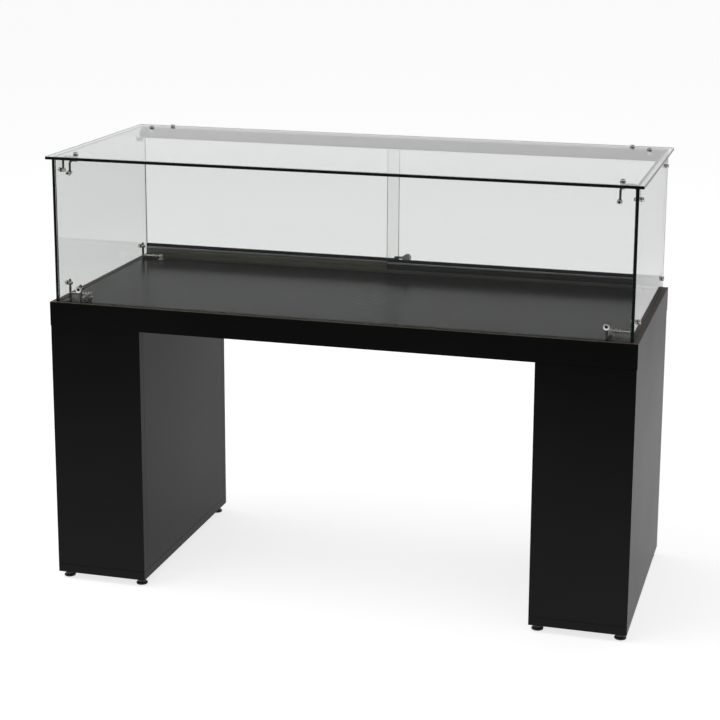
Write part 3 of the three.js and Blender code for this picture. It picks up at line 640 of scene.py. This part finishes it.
def make_top_screw(label, x, y, node, tip):
    """A socket screw through the top glass, on a washer and in a clear sleeve."""
    glass_top = TOP_GLASS_HIGH.z
    seat = Vector((x, y, glass_top + WASHER))
    radius, height = TOP_SCREW_HEAD
    screw_piece(f"{label}_top_screw", seat, Z, radius, height, seat.z - tip, SHANK_RADIUS, (node,))
    washer = tube(SHANK_BORE, radius + 0.7 * MM, 0, WASHER, (x, y, glass_top), ease=0.1 * MM)
    piece(f"{label}_top_washer", washer, [RUBBER])
    through = glass_top - TOP_GLASS_LOW.z
    sleeve = tube(SHANK_BORE, SLEEVE_RADIUS, 0.1 * MM, through - 0.1 * MM, (x, y, TOP_GLASS_LOW.z))
    piece(f"{label}_top_sleeve", sleeve, [SLEEVE])


def make_low_hub(label, hub):
    """A lower connector's hub: a flange bolted to the deck, a waist and a ball that takes the arms."""
    base = TABLE_TOP + 0.05 * MM - hub.z
    profile = [
        (0, base), (6.4 * MM, base), (6.8 * MM, base + 0.4 * MM), (6.8 * MM, base + 0.9 * MM),
        (6.2 * MM, base + 1.3 * MM), (3.6 * MM, base + 1.7 * MM), (3.3 * MM, base + 2.6 * MM),
    ]
    ball = HUB_RADIUS
    steps = 9
    start = math.radians(-48)
    for step in range(steps + 1):
        angle = start + (math.radians(62) - start) * step / steps
        profile.append((ball * math.cos(angle), ball * math.sin(angle)))
    top = profile[-1][1]
    profile += [(2.2 * MM, top), (2.2 * MM, top - 2 * MM), (0, top - 2 * MM)]
    last = len(profile) - 1
    body = lathe(profile, hub, hexagonal=(last - 2, last - 1))
    piece(f"{label}_hub", body, [LIT_PLATING], stands_for=(f"{label}_connector",))


def make_connector(level, end, side, sign):
    """A hub with an arm, a post and a pin to each pane that it holds."""
    label = f"{level}_{end}_{side}"
    hub = connector_hub(level, end, side, sign)
    side_low, side_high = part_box(f"{side}_glass")
    inner_x = side_low.x if sign > 0 else side_high.x
    through = side_high.x - side_low.x
    pin_z = PIN_Z[level]
    top = level == "top"
    if top:
        make_top_hub(label, hub)
    else:
        make_low_hub(label, hub)
    branches = [("side", X * sign, Vector((inner_x, hub.y, pin_z)), SIDE_HEAD_RADIUS, ())]
    if end == "front":
        pin_low, pin_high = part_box(f"{label}_pin")
        wall = Vector((hub.x, FRONT_INNER_Y, pin_z))
        branches.append(("front", -Y, wall, (pin_high.x - pin_low.x) / 2, (f"{label}_pin",)))
    for name, out, wall, head_radius, stands_for in branches:
        foot = wall - out * (WASHER + POST_RADIUS)
        arm_end = Vector((foot.x, foot.y, hub.z))
        if top:
            tip = foot - Z * TOP_POST_PAST_PIN
            rod = swept_rod([hub, arm_end, tip], POST_RADIUS * 0.92)
            piece(f"{label}_{name}_rod", rod, [SHADED_CHROME])
        else:
            piece(f"{label}_{name}_arm", swept_rod([hub, arm_end], ARM_RADIUS), [CHROME])
            post_foot = Vector((foot.x, foot.y, TABLE_TOP + 0.3 * MM))
            post = swept_rod([post_foot, foot + Z * LOW_POST_PAST_PIN], POST_RADIUS)
            piece(f"{label}_{name}_post", post, [SHADED_CHROME])
            arm_collars(f"{label}_{name}", hub, out)
        panel_pin(f"{label}_{name}", wall, through, out, head_radius, stands_for=stands_for)


def make_connectors():
    for side, sign in SIDES:
        for level in ("top", "low"):
            for end in ("front", "rear"):
                make_connector(level, end, side, sign)


# ---------------------------------------------------------------- tracks and doors

def make_tracks():
    for node, material, slot in (("upper_track", ALUMINIUM, "track_aluminium"),
                                 ("lower_track", DARK_TRACK, "track_dark")):
        bm = bare_copy(node)
        low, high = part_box(node)
        long_edges = [
            edge for edge in bm.edges
            if edge.calc_length() > (high.x - low.x) * 0.9 and edge.calc_face_angle() > SHARP_ANGLE
        ]
        bmesh.ops.bevel(bm, geom=long_edges, offset=TRACK_EASE, segments=2, affect="EDGES", profile=0.5)
        shade(bm)
        taped_above = high.z - MM / 2 if node == "upper_track" else math.inf
        for face in bm.faces:
            face.material_index = 1 if face.calc_center_median().z > taped_above else 0
        piece(f"{node}_finished", bm, [material, TAPE], stands_for=(node,))
    for side, _ in SIDES:
        low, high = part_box(f"track_screw_{side}")
        centre = (low + high) / 2
        make_top_screw(f"track_{side}", centre.x, centre.y, f"track_screw_{side}", low.z)


def make_door(side):
    """A pane in a rubber glazing strip, held in a dark shoe with a bead painted pale as a highlight, on two
    grooved wheels.
    """
    body = f"{side}_door"
    shoe = REAR_SHOE if side == "left" else FRONT_SHOE
    sheet_piece(f"{side}_door_glass", GLASS_ARRIS, 1, (DOOR_GLASS, DOOR_EDGE_HIGHLIGHT), body,
                smooth=False)
    pane_low, pane_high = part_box(f"{side}_door_glass")
    low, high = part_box(f"{side}_door_shoe")
    middle = (low.y + high.y) / 2
    pane = (pane_high.y - pane_low.y) / 2
    skirt = (high.y - low.y) / 2
    wall = 1.4 * MM
    pocket_top = low.z + 14.2 * MM
    bead_low = high.z - 11.5 * MM
    bead_high = high.z - 6.8 * MM
    cap = 1.6 * MM
    start, end = low.x + cap, high.x - cap

    def section(points):
        """Both halves of a section that is the same on either side of the pane."""
        return [(middle + y, z) for y, z in points] + [(middle - y, z) for y, z in reversed(points)]

    skirt_section = section([
        (skirt - wall, low.z), (skirt, low.z), (skirt, bead_low), (skirt - 0.9 * MM, bead_low),
        (skirt - 0.9 * MM, bead_low + 0.8 * MM), (pane + 0.1 * MM, bead_low + 0.8 * MM),
    ]) + section([(skirt - wall, pocket_top)])[::-1]
    piece(f"{side}_door_shoe_skirt", extruded(skirt_section, start, end), [shoe], body,
          (f"{side}_door_shoe",))
    for face, out in (("front", -1), ("rear", 1)):
        def flank(points):
            return [(middle + out * y, z) for y, z in points]

        bead = flank([
            (pane + 0.1 * MM, bead_low + 0.9 * MM), (skirt - 0.1 * MM, bead_low + 0.9 * MM),
            (skirt - 0.1 * MM, bead_high - 0.6 * MM), (skirt - 0.7 * MM, bead_high),
            (pane + 0.1 * MM, bead_high),
        ])
        piece(f"{side}_door_bead_{face}", extruded(bead, start, end), [BEAD_HIGHLIGHT], body)
        strip = flank([
            (pane + 0.05 * MM, bead_high + 0.1 * MM), (skirt - 0.9 * MM, bead_high + 0.1 * MM),
            (skirt - 0.7 * MM, bead_high + 1.2 * MM), (skirt - 0.9 * MM, high.z - 1.2 * MM),
            (skirt - 1.4 * MM, high.z), (pane + 0.05 * MM, high.z),
        ])
        piece(f"{side}_door_glazing_{face}", extruded(strip, start, end), [GLAZING], body)
    for index, (cap_start, cap_end) in enumerate(((low.x, start), (end, high.x))):
        cap_section = section([(skirt - 0.1 * MM, low.z + 0.2 * MM), (skirt - 0.1 * MM, bead_high - 0.4 * MM),
                               (skirt - 0.9 * MM, bead_high), (skirt - 0.9 * MM, high.z - 0.4 * MM)])
        piece(f"{side}_door_cap_{index + 1}", extruded(cap_section, cap_start, cap_end), [RUBBER],
              body)
    for index in (1, 2):
        make_wheel(f"{side}_door_wheel_{index}")


def make_wheel(node):
    """A grooved nylon wheel on a steel axle."""
    low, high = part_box(node)
    centre = (low + high) / 2
    radius = (high.z - low.z) / 2
    axle_end = (high.y - low.y) / 2
    half = 2.4 * MM
    tread = lathe([
        (1.6 * MM, -half), (radius - 0.5 * MM, -half), (radius, -half + 0.5 * MM), (radius, -half + 0.9 * MM),
        (radius - 1 * MM, 0), (radius, half - 0.9 * MM), (radius, half - 0.5 * MM), (radius - 0.5 * MM, half),
        (4.4 * MM, half), (4.1 * MM, half - 0.5 * MM), (2.9 * MM, half - 0.5 * MM), (2.6 * MM, half),
        (1.6 * MM, half), (1.6 * MM, -half),
    ], centre, Y)
    bmesh.ops.remove_doubles(tread, verts=tread.verts, dist=1e-7)
    piece(f"{node}_tread", tread, [NYLON], node, (node,))
    ease = 0.3 * MM
    axle = lathe([
        (0, -axle_end), (AXLE_RADIUS - ease, -axle_end), (AXLE_RADIUS, -axle_end + ease),
        (AXLE_RADIUS, axle_end - ease), (AXLE_RADIUS - ease, axle_end), (0, axle_end),
    ], centre, Y, steps=24)
    piece(f"{node}_axle", axle, [STEEL], node)


# ---------------------------------------------------------------- the lock

def make_lock():
    """A clamp over the left door's free edge, with a round barrel housing and a keyed plug."""
    low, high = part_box("lock_body")
    plug_low, plug_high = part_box("lock_cylinder")
    axis = (plug_low + plug_high) / 2
    pane_low, pane_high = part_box("left_door_glass")
    shoe_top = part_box("left_door_shoe")[1].z
    edge = pane_high.x
    bar_low = shoe_top + LOCK_BAR_RISE
    bar_high = bar_low + LOCK_BAR_HEIGHT
    clamp = 2 * MM
    gap = 0.3 * MM

    def bar(name, x0, x1, y0, y1, material):
        section = [(y0, bar_low), (y1, bar_low), (y1, bar_high), (y0, bar_high)]
        piece(name, extruded(section, x0, x1, ease=0.5 * MM), [material], "left_door")

    inner_end = axis.x - 2 * MM
    bar("lock_front_clamp", low.x, edge + 2 * MM, low.y, pane_low.y - gap, LOCK_CLAMP)
    bar("lock_rear_clamp", low.x, inner_end, pane_high.y + gap, pane_high.y + gap + clamp, LOCK_CLAMP)
    bar("lock_bar", edge + gap, inner_end, low.y + 0.6 * MM, pane_high.y + gap + 0.5 * MM, LOCK)
    for name, y0, y1 in (("front", pane_low.y - gap, pane_low.y), ("rear", pane_high.y, pane_high.y + gap)):
        z0, z1 = bar_low + 0.5 * MM, bar_high - 0.5 * MM
        pad = extruded([(y0, z0), (y1, z0), (y1, z1), (y0, z1)], low.x + MM, edge - MM, ease=0.05 * MM)
        piece(f"lock_{name}_pad", pad, [RUBBER], "left_door")
    radius = (high.z - low.z) / 2
    bore = (plug_high.x - plug_low.x) / 2 + gap
    length = high.y - low.y
    floor = plug_low.y - low.y - gap
    ease = 0.8 * MM
    origin = Vector((axis.x, low.y, axis.z))
    housing = lathe([
        (0, 0), (radius - ease * 2.2, 0), (radius - ease, 0), (radius - ease * 0.3, ease * 0.3),
        (radius, ease), (radius, length - 4 * MM), (radius - ease * 0.7, length - 3.6 * MM),
        (radius - ease * 0.7, length - 3 * MM), (radius, length - 2.6 * MM), (radius, length - ease),
        (radius - ease * 0.3, length - ease * 0.3), (radius - ease, length), (bore + 0.4 * MM, length),
        (bore, length - 0.4 * MM), (bore, floor), (0, floor),
    ], origin, Y)
    for face in housing.faces:
        place = face.calc_center_median() - origin
        face.material_index = 1 if place.y < ease * 0.2 and place.length < radius - ease * 1.5 else 0
    piece("lock_housing", housing, [LOCK, LOCK_FACE], "left_door", ("lock_body",))

    plug_radius = (plug_high.x - plug_low.x) / 2
    plug_length = plug_high.y - plug_low.y
    plug = lathe([
        (0, 0), (plug_radius, 0), (plug_radius, plug_length - 0.5 * MM),
        (plug_radius - 0.5 * MM, plug_length), (0, plug_length),
    ], (axis.x, plug_low.y, axis.z), Y)
    barrel = piece("lock_plug", plug, [LOCK], "lock_cylinder", ("lock_cylinder",))
    keyway = bmesh.new()
    bmesh.ops.create_cube(keyway, size=1)
    slot_place = Vector((axis.x, plug_high.y, axis.z))
    for vertex in keyway.verts:
        vertex.co = Vector(a * b for a, b in zip(vertex.co, KEYWAY)) + slot_place
    cut(barrel, keyway)


def cut(target, bm):
    """Takes a closed shape out of a piece's mesh."""
    mesh = bpy.data.meshes.new("cutter")
    bm.to_mesh(mesh)
    bm.free()
    cutter = bpy.data.objects.new("cutter", mesh)
    bpy.context.collection.objects.link(cutter)
    boolean = target.modifiers.new("cut", "BOOLEAN")
    boolean.operation = "DIFFERENCE"
    boolean.solver = "EXACT"
    boolean.object = cutter
    bpy.context.view_layer.update()
    evaluated = target.evaluated_get(bpy.context.evaluated_depsgraph_get())
    result = bpy.data.meshes.new_from_object(evaluated)
    target.modifiers.clear()
    target.data = result
    bpy.data.objects.remove(cutter)
    shaped = bmesh.new()
    shaped.from_mesh(result)
    shade(shaped)
    shaped.to_mesh(result)
    shaped.free()


# ---------------------------------------------------------------- stage, light and camera

def make_stage():
    """A pale floor that glows, with its glow and colour painted to fade with distance, to the right and in
    front: painted light falloff; under a sky that is bright at the horizon.
    """
    bm = bmesh.new()
    corners = ((-1, -1), (1, -1), (1, 1), (-1, 1))
    bm.faces.new([bm.verts.new((x * FLOOR_REACH, y * FLOOR_REACH, 0)) for x, y in corners])
    mesh = bpy.data.meshes.new("floor")
    bm.to_mesh(mesh)
    bm.free()
    pale = Nodes("floor_white", (0.6, 0.6, 0.6), 0.9, specular=0.0, Emission_Color=(1, 1, 1, 1))
    x, y = pale.parts(pale.coordinates, "X"), pale.parts(pale.coordinates, "Y")
    radius = pale.combine("POWER", pale.combine(
        "ADD", pale.combine("MULTIPLY", x, x), pale.combine("MULTIPLY", y, y)), 0.5)
    away = pale.spread(radius, 0, 1, start=0.8, end=2.4)
    sideways = pale.combine("ADD", x, pale.combine("MULTIPLY", y, 0.078))
    beside = pale.spread(sideways, 0, 0.55, start=0.72, end=1.3)
    before = pale.spread(y, 1, 0, start=-2.2, end=-0.8)
    # Painted falloff: the floor's glow and colour fade away from the showcase, to its right and in front.
    painted_falloff = pale.combine("MULTIPLY", away, pale.combine("MAXIMUM", beside, before))
    pale.link(pale.spread(painted_falloff, FLOOR_GLOW, FLOOR_GLOW * 0.45, start=0, end=1),
              pale.shader.inputs["Emission Strength"])
    pale.color(pale.blend(painted_falloff, (0.6, 0.6, 0.6), (0.36, 0.36, 0.36)))
    mesh.materials.append(pale.material)
    floor = bpy.data.objects.new("floor", mesh)
    bpy.context.collection.objects.link(floor)

    world = bpy.data.worlds.new("studio")
    world.use_nodes = True
    tree = world.node_tree
    direction = tree.nodes.new("ShaderNodeSeparateXYZ")
    tree.links.new(tree.nodes.new("ShaderNodeTexCoord").outputs["Generated"], direction.inputs["Vector"])

    def fade(axis, start, end, low, high):
        node = tree.nodes.new("ShaderNodeMapRange")
        node.interpolation_type = "SMOOTHSTEP"
        for name, value in (("From Min", start), ("From Max", end), ("To Min", low), ("To Max", high)):
            node.inputs[name].default_value = value
        tree.links.new(direction.outputs[axis], node.inputs["Value"])
        return node.outputs["Result"]

    strength = tree.nodes.new("ShaderNodeMath")
    strength.operation = "MULTIPLY"
    tree.links.new(fade("Z", 0.05, 0.35, SKY_HORIZON, SKY_OVERHEAD), strength.inputs[0])
    tree.links.new(fade("Y", -0.9, 0.0, SKY_IN_FRONT, 1), strength.inputs[1])
    tree.links.new(strength.outputs["Value"], tree.nodes["Background"].inputs["Strength"])
    tree.nodes["Background"].inputs["Color"].default_value = (1, 1, 1, 1)
    bpy.context.scene.world = world


def make_light(name, place, size, power):
    """A square softbox that points at the middle of the showcase."""
    light = bpy.data.lights.new(name, "AREA")
    light.shape = "SQUARE"
    light.size = size
    light.energy = power
    obj = bpy.data.objects.new(name, light)
    obj.location = place
    target = Vector((0, 0, TABLE_TOP))
    obj.rotation_euler = (target - Vector(place)).to_track_quat("-Z", "Y").to_euler()
    bpy.context.collection.objects.link(obj)


def make_camera():
    camera = bpy.data.cameras.new("camera")
    camera.sensor_width = 36
    camera.lens = CAMERA_LENS
    camera.shift_y = CAMERA_SHIFT
    camera.clip_end = 200
    obj = bpy.data.objects.new("camera", camera)
    across = math.cos(CAMERA_ELEVATION)
    ahead = Vector((
        math.sin(CAMERA_AZIMUTH) * across, math.cos(CAMERA_AZIMUTH) * across, math.sin(CAMERA_ELEVATION)))
    right = ahead.cross(Z).normalized()
    up = right.cross(ahead)
    level = Matrix((right, up, -ahead)).transposed().to_4x4()
    obj.matrix_world = Matrix.Translation(CAMERA_PLACE) @ level @ Matrix.Rotation(CAMERA_ROLL, 4, "Z")
    bpy.context.collection.objects.link(obj)
    bpy.context.scene.camera = obj


make_camera()
make_stage()
make_light("key", KEY_PLACE, KEY_SIZE, KEY_POWER)
bpy.context.scene.view_settings.view_transform = "Standard"
make_table()
make_feet()
make_glass()
make_connectors()
make_tracks()
make_door("left")
make_door("right")
make_lock()
